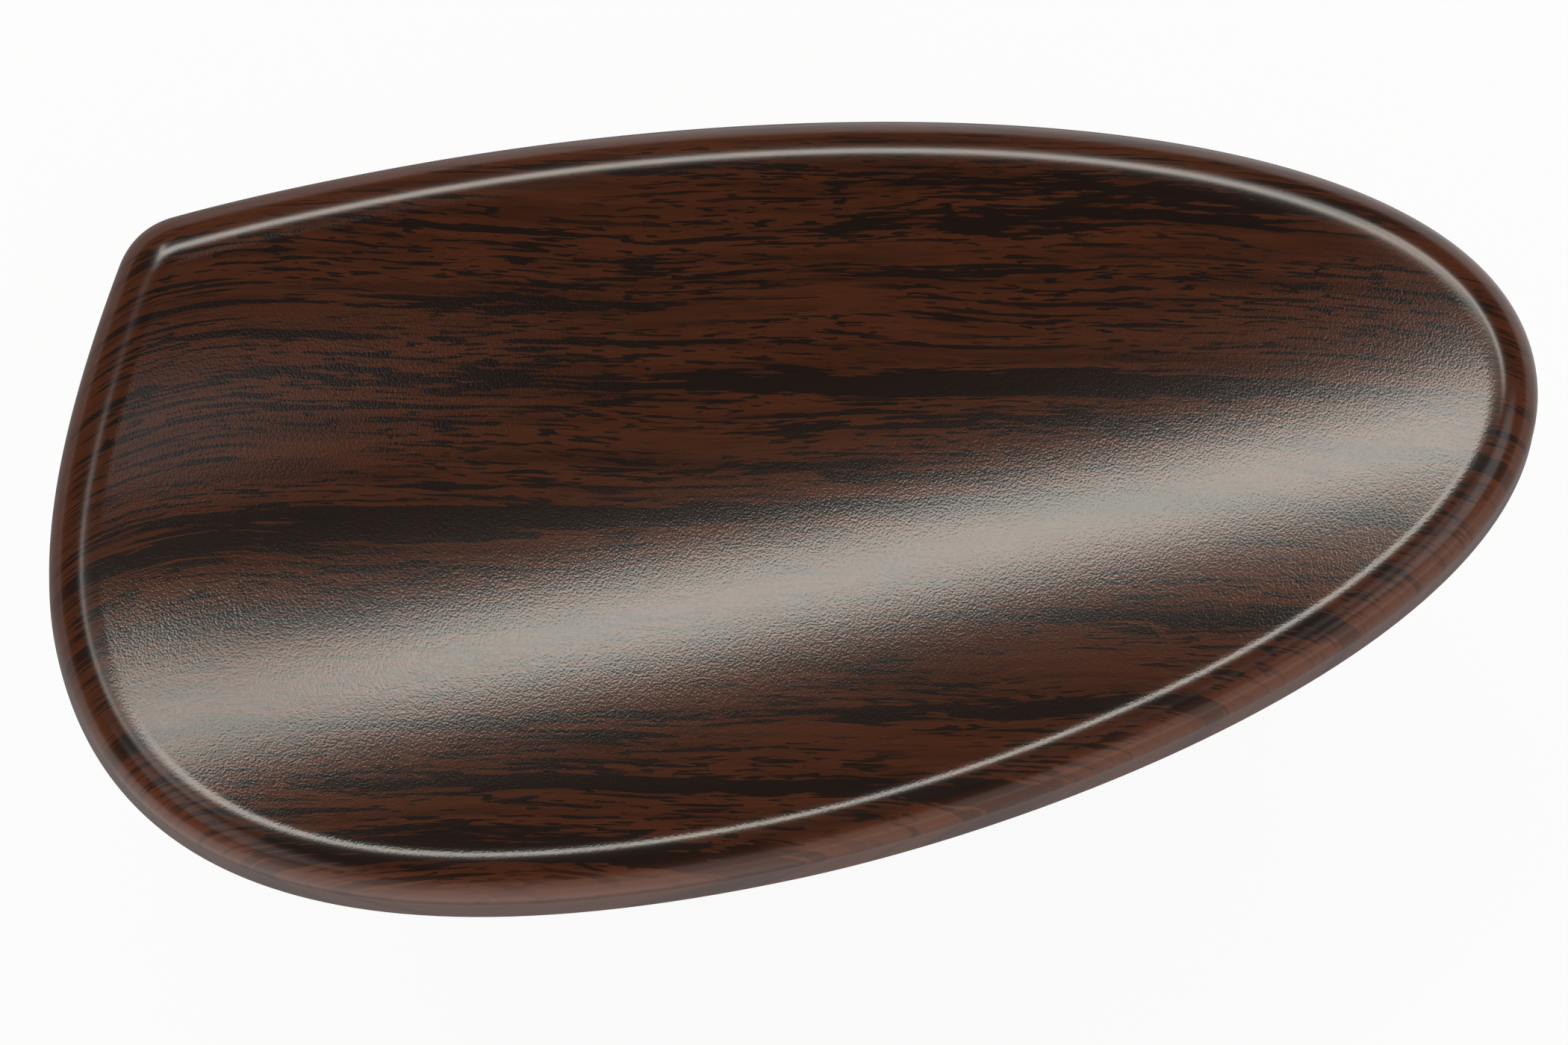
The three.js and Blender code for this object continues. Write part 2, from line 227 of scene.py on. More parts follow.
# The trough, and then the crest, the crown and the roll round it
rings = [raised(dish_centre, dish_floor)]
for share in np.linspace(0, 1, dish_rings + 1)[1:]:
    points = toward_centre(dish_inset, share)
    rings.append(raised(points, dish_height(points)))
for share in np.linspace(0, 1, crest_steps + 1)[1:]:
    rings.append(raised(inset(dish_inset - crest_round * share), lip_height(share)))
crest_height = lip_height(1)
for share in np.linspace(0, 1, crown_steps + 1)[1:]:
    points = inset(crest_inset - crown_width * share)
    rings.append(raised(points, crest_height - crown_fall * share**2))
slope_share = 2 * crown_fall / crown_width * roll_width / roll_height
roll_start = math.asin(slope_share / (1 - slope_share))
for turn in np.linspace(roll_start, math.pi / 2, roll_steps + 1)[1:]:
    out_share = (math.sin(turn) - math.sin(roll_start)) / (1 - math.sin(roll_start))
    drop = crown_fall + roll_height * (1 - math.cos(turn) / math.cos(roll_start))
    rings.append(raised(inset(wall_draft + roll_width * (1 - out_share)), crest_height - drop))

# The outer wall, the skirt's foot, and the underside of the shell
shell_wall = 3 * mm
parting_height = 16.3 * mm
skirt_round = 1.2 * mm
skirt_foot = 1.1 * mm
skirt_chamfer = 0.5 * mm
skirt_wall = 3.4 * mm
shell_inset = 4.6 * mm
skirt_steps = 6
inner_edge_steps = 4
shell_rings = 14
wall_top = rings[-1]
parting = raised(inset(0), parting_height)
for share in np.linspace(0, 1, wall_steps + 1)[1:]:
    rings.append(wall_top + (parting - wall_top) * share)
rings_above = len(rings)
for turn in np.linspace(0, math.pi / 2, skirt_steps + 1)[1:]:
    distance = skirt_round * (1 - math.cos(turn))
    rings.append(raised(inset(distance), parting_height - skirt_round * math.sin(turn)))
skirt_bottom = parting_height - skirt_round
rings.append(raised(inset(skirt_round + skirt_foot), skirt_bottom))
rings.append(raised(inset(skirt_round + skirt_foot + skirt_chamfer), skirt_bottom + skirt_chamfer))
wall_share = 0.15
wall_inside = raised(inset(skirt_wall), dish_height(inset(skirt_wall)) - shell_wall)
shell_edge = raised(inset(shell_inset), dish_height(inset(shell_inset)) - shell_wall)
wall_end = rings[-1] * wall_share + wall_inside * (1 - wall_share)
rings += eased(wall_end, wall_inside, shell_edge, inner_edge_steps)
for share in np.linspace(1, 0, shell_rings + 1)[1:-1]:
    points = toward_centre(shell_inset, share)
    rings.append(raised(points, dish_height(points) - shell_wall))
rings.append(raised(dish_centre, dish_floor - shell_wall))
plate = skin("plate_moulding", rings)

# What lies under the middle of the shell, to trim the leg to
below = [raised(dish_centre, dish_floor - shell_wall / 2)]
for share in np.linspace(0, 1, shell_rings + 1)[1:]:
    points = toward_centre(shell_inset, share)
    below.append(raised(points, dish_height(points) - shell_wall / 2))
below.append(raised(inset(shell_inset), 0))
below.append(raised(dish_centre, 0))
below_shell = skin("below_shell", below)


def rounded_loop(length, width, radius, steps):
    """Points round a rectangle with round corners, anticlockwise from its near right corner."""
    arcs = []
    for k, (side_x, side_y) in enumerate([(1, -1), (1, 1), (-1, 1), (-1, -1)]):
        angle = np.linspace(0, math.pi / 2, steps + 1) + (k - 1) * math.pi / 2
        centre = np.array([side_x * (length / 2 - radius), side_y * (width / 2 - radius)])
        arcs.append(centre + radius * np.column_stack([np.cos(angle), np.sin(angle)]))
    return np.vstack(arcs)


seat_length = 48 * mm
seat_width = 12 * mm
seat_top = 2 * mm
leg_margin = 1 * mm
leg_round = 4 * mm
leg_flare = 4 * mm
leg_flare_start = 9 * mm
leg_rings = 16
leg_length = seat_length + 2 * leg_margin
leg_width = seat_width + 2 * leg_margin
leg_top = dish_height(np.array([[leg_length / 2, -leg_width / 2]]))[0]
leg_corner_steps = 10
middle = np.zeros((1, 2))
leg_form = [raised(middle, leg_top)]
for height in [*np.linspace(leg_top, leg_flare_start, leg_rings), seat_top]:
    flare = leg_flare * (max(height - leg_flare_start, 0) / (leg_top - leg_flare_start)) ** 2
    length, width = leg_length + 2 * flare, leg_width + 2 * flare
    loop = rounded_loop(length, width, leg_round + flare, leg_corner_steps)
    leg_form.append(raised(loop, height))
leg_form.append(raised(middle, seat_top))
leg = skin("leg", leg_form)


def pick(piece):
    """Makes a piece the only one that the next operator acts on."""
    bpy.ops.object.select_all(action="DESELECT")
    piece.select_set(True)
    bpy.context.view_layer.objects.active = piece


def carve(piece, tool, operation="DIFFERENCE"):
    """Cuts, joins or trims a piece with a second one, which is used up."""
    pick(piece)
    cut = piece.modifiers.new("carve", "BOOLEAN")
    cut.operation = operation
    cut.solver = "MANIFOLD"
    cut.object = tool
    bpy.ops.object.modifier_apply(modifier=cut.name)
    bpy.data.objects.remove(tool)


def block(low, high):
    """A box between two corners."""
    low, high = Vector(low), Vector(high)
    bpy.ops.object.select_all(action="DESELECT")
    bpy.ops.mesh.primitive_cube_add(size=1, location=(low + high) / 2, scale=high - low)
    bpy.ops.object.transform_apply(location=True, rotation=True, scale=True)
    return bpy.context.object


def rod(x, y, bottom, top, radius, top_radius=None, sides=48):
    """A round bar along Z, or a cone where its top has a radius of its own."""
    bpy.ops.object.select_all(action="DESELECT")
    bpy.ops.mesh.primitive_cone_add(
        vertices=sides,
        radius1=radius,
        radius2=radius if top_radius is None else top_radius,
        depth=top - bottom,
        location=(x, y, (bottom + top) / 2),
    )
    bpy.ops.object.transform_apply(location=True, rotation=True, scale=True)
    return bpy.context.object


def bevel_edges(piece, chosen, width, segments):
    """Rounds the edges of a piece that a test on their two ends chooses."""
    pick(piece)
    bpy.ops.object.mode_set(mode="EDIT")
    bpy.ops.mesh.select_mode(type="EDGE")
    bpy.ops.mesh.select_all(action="DESELECT")
    bpy.ops.object.mode_set(mode="OBJECT")
    points = [vertex.co for vertex in piece.data.vertices]
    for edge in piece.data.edges:
        edge.select = chosen(*(points[v] for v in edge.vertices))
    bpy.ops.object.mode_set(mode="EDIT")
    bpy.ops.mesh.bevel(offset=width, segments=segments, affect="EDGES")
    bpy.ops.object.mode_set(mode="OBJECT")


bracket_thickness = 1.6 * mm
bracket_round = 3 * mm
ear_radius = 4.2 * mm
scallop_depth = 4.5 * mm
flange_reach = 11.5 * mm
fit_gap = 0.3 * mm
stud_x = 17 * mm
barrel_y = -11.7 * mm
overrun = 1 * mm


def bracket_blank(bottom, top, reach, gap=0):
    """The outline of a bracket: a flange with two round corners, and an ear round each stud."""
    inner = reach - leg_width / 2 + gap
    half = stud_x + ear_radius + gap
    blank = block((-half, barrel_y, bottom), (half, inner, top))
    bevel_edges(
        blank, lambda a, b: min(a.y, b.y) > 0 and abs(a.z - b.z) > 0, bracket_round, segments=10
    )
    scallop = rod(0, 0, bottom - overrun, top + overrun, radius=1)
    shrink = Matrix.Diagonal((stud_x - ear_radius, scallop_depth, 1, 1))
    scallop.data.transform(Matrix.Translation((0, barrel_y, 0)) @ shrink)
    carve(blank, scallop)
    for side in (-1, 1):
        carve(blank, rod(side * stud_x, barrel_y, bottom, top, ear_radius + gap), "UNION")
    return blank


screw_length = 9 * mm
screw_radius = 1.3 * mm
screw_sunk = 0.2 * mm
screw_places = [
    (-17 * mm, -2.6 * mm),
    (-6 * mm, 2.6 * mm),
    (17 * mm, -2.6 * mm),
    (6 * mm, 2.6 * mm),
]

shell_points = [vertex.co.copy() for vertex in plate.data.vertices]
carve(leg, below_shell, "INTERSECT")
carve(plate, leg, "UNION")
pocket_top = seat_top + bracket_thickness + fit_gap
carve(plate, bracket_blank(seat_top - overrun, pocket_top, flange_reach, fit_gap))
for x, y in screw_places:
    carve(plate, rod(x, y, seat_top, seat_top + screw_sunk + screw_length, screw_radius))

# How far in from the outline each point lies tells the finish where the lip ends and the trough
# begins. It is in millimetres up to the trough, a count of rings inside it, and -1 underneath.
underside_reach = -1.0
reach_of_points = []
for k, ring in enumerate(rings):
    if k >= rings_above:
        reach = underside_reach
    elif k <= dish_rings:
        reach = dish_inset / mm + (dish_rings - k)
    else:
        reach = np.linalg.norm(ring[0, :2] - outline[0]) / mm
    reach_of_points += [reach] * len(ring)
tree = KDTree(len(shell_points))
for i, point in enumerate(shell_points):
    tree.insert(point, i)
tree.balance()
nearest = [tree.find(vertex.co)[1] for vertex in plate.data.vertices]
reach_layer = plate.data.attributes.new("reach", "FLOAT", "POINT")
reach_layer.data.foreach_set("value", [reach_of_points[point] for point in nearest])


def smooth(piece, angle=35):
    pick(piece)
    bpy.ops.object.shade_smooth_by_angle(angle=math.radians(angle))


smooth(plate, angle=40)


class Wire:
    """An output of a finish's node. Sums and products of wires add the Math nodes they need."""

    def __init__(self, finish, socket):
        self.finish = finish
        self.socket = socket

    def maths(self, operation, *others):
        values = dict(zip(("Value", "Value_001", "Value_002"), (self, *others)))
        return self.finish.node("ShaderNodeMath", {"operation": operation}, values)["Value"]

    def __add__(self, other):
        return self.maths("ADD", other)

    def __sub__(self, other):
        return self.maths("SUBTRACT", other)

    def __rsub__(self, other):
        return self.maths("MULTIPLY_ADD", -1.0, other)

    def __mul__(self, other):
        return self.maths("MULTIPLY", other)

    def __truediv__(self, other):
        return self.maths("DIVIDE", other)

    __radd__ = __add__
    __rmul__ = __mul__

    def between(self, low, high):
        """0 below the first value, 1 above the second and a smooth step from one to the other."""
        values = {"Value": self, "From Min": low, "From Max": high}
        settings = {"interpolation_type": "SMOOTHSTEP", "clamp": True}
        return self.finish.node("ShaderNodeMapRange", settings, values)["Result"]

    def above(self, low):
        return self.maths("MAXIMUM", low)


class Finish:
    """A node tree, and the one way to add a node to it."""

    def __init__(self, owner):
        owner.use_nodes = True
        self.owner = owner
        self.tree = owner.node_tree
        self.tree.nodes.clear()

    def node(self, kind, settings=None, values=None):
        """Adds a node and returns its outputs. Sockets are named by their identifiers."""
        made = self.tree.nodes.new(kind)
        for name, value in (settings or {}).items():
            setattr(made, name, value)
        inputs = {socket.identifier: socket for socket in made.inputs}
        for name, value in (values or {}).items():
            if isinstance(value, Wire):
                self.tree.links.new(value.socket, inputs[name])
            else:
                inputs[name].default_value = value
        return {socket.identifier: Wire(self, socket) for socket in made.outputs}

    def mix(self, share, first, second):
        values = {"Factor_Float": share, "A_Color": first, "B_Color": second}
        return self.node("ShaderNodeMix", {"data_type": "RGBA"}, values)["Result_Color"]

    def noise(self, vector, detail=2.0, roughness=0.5):
        values = {"Vector": vector, "Scale": 1.0, "Detail": detail, "Roughness": roughness}
        return self.node("ShaderNodeTexNoise", {}, values)["Fac"]

    def cells(self, feature, vector, scale, more=None):
        values = {"Vector": vector, "Scale": scale, **(more or {})}
        return self.node("ShaderNodeTexVoronoi", {"feature": feature}, values)

    def vector(self, x, y, z):
        return self.node("ShaderNodeCombineXYZ", {}, {"X": x, "Y": y, "Z": z})["Vector"]

    def place(self):
        """The point of the surface in millimetres, as three wires."""
        point = self.node("ShaderNodeTexCoord")["Object"]
        parts = self.node("ShaderNodeSeparateXYZ", {}, {"Vector": point})
        return [parts[axis] * (1 / mm) for axis in ("X", "Y", "Z")]

    def bump(self, height, distance, normal=None):
        values = {"Height": height, "Distance": distance}
        if normal is not None:
            values["Normal"] = normal
        return self.node("ShaderNodeBump", {}, values)["Normal"]

    def surface(self, values):
        shader = self.node("ShaderNodeBsdfPrincipled", {}, values)["BSDF"]
        self.node("ShaderNodeOutputMaterial", {}, {"Surface": shader})
        return self.owner


def colour(red, green, blue):
    """A colour as it looks on screen, from 0 to 255, turned into what a shader takes."""
    shares = [value / 255 for value in (red, green, blue)]
    return (*[s / 12.92 if s <= 0.04045 else ((s + 0.055) / 1.055) ** 2.4 for s in shares], 1.0)


photo_turn = math.radians(12)


def wood_print():
    """A dark wood-grain film under lacquer. Its streaks run along the photograph's width."""
    film = Finish(bpy.data.materials.new("wood_print"))
    x, y, z = film.place()
    reach = film.node("ShaderNodeAttribute", {"attribute_name": "reach"})["Fac"]
    along = x * math.cos(photo_turn) - y * math.sin(photo_turn)
    across = x * math.sin(photo_turn) + y * math.cos(photo_turn)

    # The streaks curve towards both ends, lean where the film is drawn down, and sway a little
    from_x = x - dish_x / mm
    from_y = y - dish_y / mm
    rise_along = from_x * from_x / (2 * dish_radius_along / mm)
    rise_across = from_y * from_y / (2 * dish_radius_across / mm)
    drop = (rise_along + rise_across + dish_floor / mm - z).above(0.0)
    left_bend_start, left_bend = -40.0, 0.018
    right_bend_start, right_bend = 30.0, 0.003
    past_left = (left_bend_start - along).above(0.0)
    past_right = (along - right_bend_start).above(0.0)
    bend = across + past_left * past_left * left_bend + past_right * past_right * right_bend
    lean_across, lean_along = 0.3, 0.5
    across = bend + drop * lean_across
    along = along + drop * lean_along
    sway_length, sway_width, sway_seed, sway_reach = 26.0, 10.0, 3.0, 2.4
    sway_place = film.vector(along / sway_length, across / sway_width, sway_seed)
    across = across + (film.noise(sway_place, detail=1.0) - 0.5) * sway_reach

    def streaks(length, width, seed, detail=2.0, roughness=0.5):
        """Noise drawn out along the grain. Its length and width are in millimetres."""
        return film.noise(film.vector(along / length, across / width, seed), detail, roughness)

    # Dark streaks of four sizes: two larger with ragged edges, and two finer that come in patches
    ragged = streaks(length=6.0, width=0.4, seed=29.0, roughness=0.6) - 0.5
    stripes = streaks(length=75.0, width=2.8, seed=11.0, detail=1.0, roughness=0.4)
    bands = (stripes + ragged * 0.55).between(0.575, 0.605)
    thin = streaks(length=30.0, width=0.9, seed=43.0, detail=1.0)
    lines = (thin + ragged * 0.4).between(0.63, 0.655)
    dashes = streaks(length=7.0, width=0.42, seed=37.0).between(0.575, 0.595)
    flecks = streaks(length=2.2, width=0.3, seed=91.0, detail=1.0, roughness=0.4)
    flecks = flecks.between(0.61, 0.63)
    busy = streaks(length=24.0, width=5.0, seed=71.0, detail=1.0).between(0.32, 0.5)

    # The browns between them. On the lip the film is stretched, which thins its streaks. Its paler
    # brown there is partly that stretch and partly painted light, most on the near side.
    tone = streaks(length=26.0, width=1.5, seed=51.0, detail=3.0, roughness=0.6)
    fibres = streaks(length=9.0, width=0.16, seed=67.0, roughness=0.6)
    brown = film.mix(tone.between(0.3, 0.6), colour(50, 23, 10), colour(67, 33, 16))
    brown = film.mix(fibres.between(0.45, 0.7) * 0.3, brown, colour(42, 22, 14))
    stretched_and_lit_lip = 1 - reach.between(1.2, 3.4)
    near_side_light = (10.0 - y).between(0.0, 20.0)
    # Painted light: this paler brown stands in for the light the lip catches, strongest on the near
    # side, on top of the stretched film's own paler tone.
    brown = film.mix(stretched_and_lit_lip * (0.25 + near_side_light * 0.6), brown, colour(104, 59, 38))
    fine = dashes.maths("MAXIMUM", flecks) * busy * (1 - stretched_and_lit_lip * 0.6)
    dark = bands.maths("MAXIMUM", lines.maths("MAXIMUM", fine))
    inked = film.mix(dark * (0.92 - stretched_and_lit_lip * 0.48), brown, colour(22, 15, 12))

    # Leather grain in the trough only, and under it the slight ripple of the lacquer
    trough = reach.between(3.6, 5.0)
    grain_per_mm, pebbles_per_mm, ripples_per_mm = 3.0, 5.5, 0.35
    grain = film.noise(film.vector(x * grain_per_mm, y * grain_per_mm, z * grain_per_mm))
    point = film.vector(x, y, z)
    pebbles = film.cells("SMOOTH_F1", point, pebbles_per_mm, {"Smoothness": 0.6})["Distance"]
    leather = (pebbles * 0.8 + grain * 0.4) * trough
    ripple = film.noise(film.vector(x * ripples_per_mm, y * ripples_per_mm, z * ripples_per_mm))
    normal = film.bump(leather, 0.01 * mm)
    normal = film.bump(ripple, 0.005 * mm, normal)
    return film.surface({
        "Base Color": inked,
        "Roughness": 0.2 - reach.between(4.0, 6.0) * 0.03 + grain * 0.02,
        "Specular IOR Level": 0.65,
        "Normal": normal,
    })


plate.data.materials.clear()
plate.data.materials.append(wood_print())
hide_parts("chin_plate")
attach(plate, "plate")

# Corks. Sheet cork, cut with a knife and glued under the leg and on the hook plate, so that the
# clamp doesn't mark the violin. The cut edges are a little crumbled, and the granules show on
# every side.


def cork_sheet():
    sheet = Finish(bpy.data.materials.new("sheet_cork"))
    x, y, z = sheet.place()
    point = sheet.vector(x, y, z)
    warp = sheet.noise(sheet.vector(x * 0.8, y * 0.8, z * 0.8), 2.0)
    granules_per_mm = 0.9
    granules = sheet.cells("F1", point, granules_per_mm)
    tone = sheet.node("ShaderNodeSeparateColor", {}, {"Color": granules["Color"]})["Red"]
    seams = sheet.cells("DISTANCE_TO_EDGE", point, granules_per_mm)
    seam = 1 - seams["Distance"].between(0.02, 0.12)
    pits = sheet.noise(sheet.vector(x * 2.4, y * 2.4, z * 2.4), 3.0, 0.6).between(0.62, 0.70)
    pale = sheet.mix(tone, colour(214, 170, 118), colour(168, 120, 74))
    pale = sheet.mix(warp.between(0.3, 0.8) * 0.5, pale, colour(190, 142, 92))
    dark = (seam * 0.55).maths("MAXIMUM", pits * 0.8)
    tint = sheet.mix(dark, pale, colour(92, 58, 34))
    normal = sheet.bump(tone * 0.5 + warp - dark * 0.8, 0.12 * mm)
    return sheet.surface({"Base Color": tint, "Roughness": 0.82 + warp * 0.15, "Normal": normal})


cork_thickness = 2 * mm
cork_round = 3 * mm
cork_voxel = 0.35 * mm
crumb_size = 1.1 * mm
crumb_depth = 0.16 * mm
foot_top = -41 * mm
foot_cork_length = 38 * mm
foot_cork_width = 11 * mm
cork_finish = cork_sheet()


def cork_pad(name, length, width, bottom):
    """A pad with round corners, remeshed so that its surface can crumble."""
    low = (-length / 2, -width / 2, bottom)
    pad = block(low, (length / 2, width / 2, bottom + cork_thickness))
    pad.name = name
    bevel_edges(pad, lambda a, b: abs(a.z - b.z) > 0, cork_round, segments=8)
    grid = pad.modifiers.new("grid", "REMESH")
    grid.mode = "VOXEL"
    grid.voxel_size = cork_voxel
    crumbs = pad.modifiers.new("crumbs", "DISPLACE")
    crumbs.texture = bpy.data.textures.new(name, "CLOUDS")
    crumbs.texture.noise_scale = crumb_size
    crumbs.texture_coords = "LOCAL"
    crumbs.mid_level = 0.9
    crumbs.strength = crumb_depth
    pick(pad)
    bpy.ops.object.modifier_apply(modifier=grid.name)
    bpy.ops.object.modifier_apply(modifier=crumbs.name)
    smooth(pad, angle=60)
    pad.data.materials.append(cork_finish)
    return pad


belly_pad = cork_pad("belly_pad", seat_length, seat_width, 0)
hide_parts("upper_cork")
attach(belly_pad, "plate")
back_pad = cork_pad("back_pad", foot_cork_length, foot_cork_width, foot_top)
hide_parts("lower_cork")
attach(back_pad, "foot")

# Brackets. Stamped from steel strip and nickel plated: the upper one is let into the leg, and the
# lower one hooks under the back. Each ear has a hole for its stud.

screw_head_radius = 2.3 * mm
screw_head_height = 1.1 * mm
edge_break = 0.3 * mm
sharp_angle = 40
stud_radius = 1.8 * mm
foot_flange_reach = 14 * mm


def nickel_plate():
    nickel = Finish(bpy.data.materials.new("nickel_plate"))
    x, y, z = nickel.place()
    cloud = nickel.noise(nickel.vector(x * 0.25, y * 0.25, z * 0.25), 3.0)
    lines = nickel.noise(nickel.vector(x * 0.4, y * 9.0, z * 9.0), 2.0)
    pits = nickel.noise(nickel.vector(x * 4.0, y * 4.0, z * 4.0), 2.0).between(0.68, 0.74)
    tint = nickel.mix(cloud, colour(205, 200, 190), colour(182, 176, 164))
    tint = nickel.mix(pits * 0.3, tint, colour(120, 112, 98))
    return nickel.surface({
        "Base Color": tint,
        "Metallic": 1.0,
        "Roughness": 0.16 + cloud * 0.12 + lines * 0.06,
        "Normal": nickel.bump(lines * 0.4 + cloud, 0.01 * mm),
    })


nickel_finish = nickel_plate()


def plated(piece, name, node, body):
    """Gives a hardware piece its plating, its name and its place in the assembly."""
    piece.name = name
    piece.data.materials.clear()
    piece.data.materials.append(nickel_finish)
    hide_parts(node)
    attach(piece, body)


def broken_edges(piece, width):
    """Keeps the large faces flat to the light beside their edges. The edges themselves stay sharp:
    where some are short, Blender limits the round, here to 0.01 mm on the barrels and to nothing
    on the brackets."""
    pick(piece)
    round_off = piece.modifiers.new("round_off", "BEVEL")
    round_off.width = width
    round_off.segments = 2
    round_off.limit_method = "ANGLE"
    round_off.angle_limit = math.radians(sharp_angle)
    bpy.ops.object.modifier_apply(modifier=round_off.name)
    smooth(piece, angle=sharp_angle)
    flatten = piece.modifiers.new("flatten", "WEIGHTED_NORMAL")
    flatten.keep_sharp = True
    bpy.ops.object.modifier_apply(modifier=flatten.name)


upper = bracket_blank(seat_top, seat_top + bracket_thickness, flange_reach)
bottom, top = seat_top - overrun, pocket_top + overrun
for side in (-1, 1):
    carve(upper, rod(side * stud_x, barrel_y, bottom, top, stud_radius + fit_gap))
for x, y in screw_places:
    carve(upper, rod(x, y, bottom, top, screw_radius + fit_gap))
    mouth = screw_head_radius + fit_gap + overrun
    sink_top = seat_top + screw_sunk + screw_head_height
    carve(upper, rod(x, y, bottom, sink_top, mouth, screw_radius + fit_gap))
broken_edges(upper, edge_break)
plated(upper, "leg_bracket", "upper_bracket", "plate")

lower = bracket_blank(foot_top - bracket_thickness, foot_top, foot_flange_reach)
bottom, top = foot_top - bracket_thickness - overrun, foot_top + overrun
for side in (-1, 1):
    carve(lower, rod(side * stud_x, barrel_y, bottom, top, stud_radius + fit_gap))
broken_edges(lower, edge_break)
plated(lower, "hook_bracket", "lower_bracket", "foot")

# Bracket screws. Countersunk steel screws with cross slots, nickel plated. They run up into the leg
# to hold its bracket, and the cork covers their heads.

screw_point = 1.8 * mm
screw_pitch = 0.9 * mm
thread_depth = 0.25 * mm
thread_sides = 20
rings_per_pitch = 6
screw_tip_share = 0.25
screw_tip_gap = 0.1 * mm
head_edge = 0.15 * mm
head_break = 0.1 * mm
slot_length = 3.2 * mm
slot_width = 0.6 * mm
slot_depth = 0.7 * mm
angle = np.linspace(0, 2 * math.pi, thread_sides, endpoint=False)
circle = np.column_stack([np.cos(angle), np.sin(angle)])


def turned(profile):
    """Rings of a turned piece, from its top down. The profile is pairs of a radius and a height."""
    made = []
    for radius, height in profile:
        points = circle * radius if radius else np.zeros((1, 2))
        made.append(raised(points, height))
    return made


def thread(radius_at, bottom, top, pitch, hand, depth):
    """Rings of a screw thread, from the top down. The radius may change with the height."""
    made = []
    count = max(2, round((top - bottom) / pitch * rings_per_pitch))
    for height in np.linspace(top, bottom, count):
        turn = (height / pitch - hand * angle / (2 * math.pi)) % 1
        radius = radius_at(height) - depth * np.abs(2 * turn - 1)
        made.append(raised(circle * radius[:, None], height))
    return made


def screw_radius_at(height):
    """The radius of a bracket screw, which narrows towards its point."""
    to_point = (screw_length - height) / screw_point
    return screw_radius * min(1, screw_tip_share + (1 - screw_tip_share) * to_point)


def put(piece, x, y, z):
    piece.data.transform(Matrix.Translation((x, y, z)))


for number, (x, y) in enumerate(screw_places, 1):
    top = screw_length - screw_tip_gap
    head = [(screw_head_radius, head_edge), (screw_head_radius - head_break, 0), (0, 0)]
    screw = skin("screw", [
        *turned([(0, screw_length)]),
        *thread(screw_radius_at, screw_head_height, top, screw_pitch, 1, thread_depth),
        *turned(head),
    ])
    for length, width in ((slot_length, slot_width), (slot_width, slot_length)):
        low = (-length / 2, -width / 2, -overrun)
        carve(screw, block(low, (length / 2, width / 2, slot_depth)))
    put(screw, x, y, seat_top + screw_sunk)
    smooth(screw)
    plated(screw, f"countersunk_screw_{number}", f"bracket_screw_{number}", "plate")

# Studs. Steel studs with a fine thread, pushed through the ears against their collars and riveted
# over on the far side. The lower pair has the other hand of thread, so that turning the barrels
# draws both ends together.

stud_pitch = 0.7 * mm
stud_chamfer = 0.6 * mm
stud_reach = 15 * mm
collar_radius = 2.8 * mm
collar_height = 0.8 * mm
rivet_radius = 3 * mm
rivet_height = 1.2 * mm
rivet_dome_share = 0.9
rivet_dome_steps = 7
stud_thread_depth = 0.35 * mm
thread_runout = 0.4 * mm


def stud(hand):
    """A stud with its rivet head at the bottom, its collar on the ear and its thread upwards."""
    collar_foot = rivet_height + bracket_thickness
    top = collar_foot + stud_reach
    collar_top = collar_foot + collar_height
    soft = 0.15 * mm

    def radius_at(height):
        return stud_radius - max(0, height - (top - stud_chamfer))

    dome = [
        (rivet_radius * math.cos(turn), rivet_height * rivet_dome_share * (1 - math.sin(turn)))
        for turn in np.linspace(0, math.pi / 2, rivet_dome_steps + 1)[:-1]
    ]
    return skin("stud", [
        *turned([(0, top)]),
        *thread(radius_at, collar_top + thread_runout, top, stud_pitch, hand, stud_thread_depth),
        *turned([
            (stud_radius - stud_thread_depth, collar_top),
            (collar_radius - soft, collar_top),
            (collar_radius, collar_top - soft),
            (collar_radius, collar_foot + soft),
            (collar_radius - soft, collar_foot),
            (stud_radius, collar_foot),
            (stud_radius, rivet_height),
            (rivet_radius - soft, rivet_height),
            *dome,
            (0, 0),
        ]),
    ])


for side, hand in ((-1, "left"), (1, "right")):
    hanging = stud(1)
    hanging.data.transform(Matrix.Rotation(math.pi, 4, "X"))
    put(hanging, side * stud_x, barrel_y, seat_top + bracket_thickness + rivet_height)
    smooth(hanging)
    plated(hanging, f"hanging_stud_{hand}", f"upper_stud_{hand}", "plate")
    standing = stud(-1)
    put(standing, side * stud_x, barrel_y, foot_top - bracket_thickness - rivet_height)
    smooth(standing)
    plated(standing, f"standing_stud_{hand}", f"lower_stud_{hand}", "foot")

# Barrels. Turned from brass and nickel plated, and bored from both ends for the studs. A key goes
# through the cross hole to turn them.

barrel_radius = 3.2 * mm
barrel_length = 28 * mm
barrel_chamfer = 1 * mm
barrel_edge_break = 0.2 * mm
bore_depth = 11.5 * mm
key_hole_radius = 1.3 * mm
barrel_middle = (seat_top + foot_top) / 2
barrel_sides = 64

for side, hand in ((-1, "left"), (1, "right")):
    end = barrel_length / 2
    barrel = rod(0, 0, -end, end, barrel_radius, sides=barrel_sides)
    bevel_edges(barrel, lambda a, b: abs(a.z - b.z) < barrel_chamfer, barrel_chamfer, segments=4)
    bore = stud_radius + fit_gap
    for way in (-1, 1):
        low, high = sorted((way * (end - bore_depth), way * (end + overrun)))
        carve(barrel, rod(0, 0, low, high, bore))
    key_hole = rod(0, 0, -barrel_radius * 2, barrel_radius * 2, key_hole_radius)
    key_hole.data.transform(Matrix.Rotation(math.pi / 2, 4, "Y"))
    carve(barrel, key_hole)
    broken_edges(barrel, barrel_edge_break)
    put(barrel, side * stud_x, barrel_y, barrel_middle)
    plated(barrel, f"turnbuckle_{hand}", f"barrel_{hand}", f"barrel_{hand}")

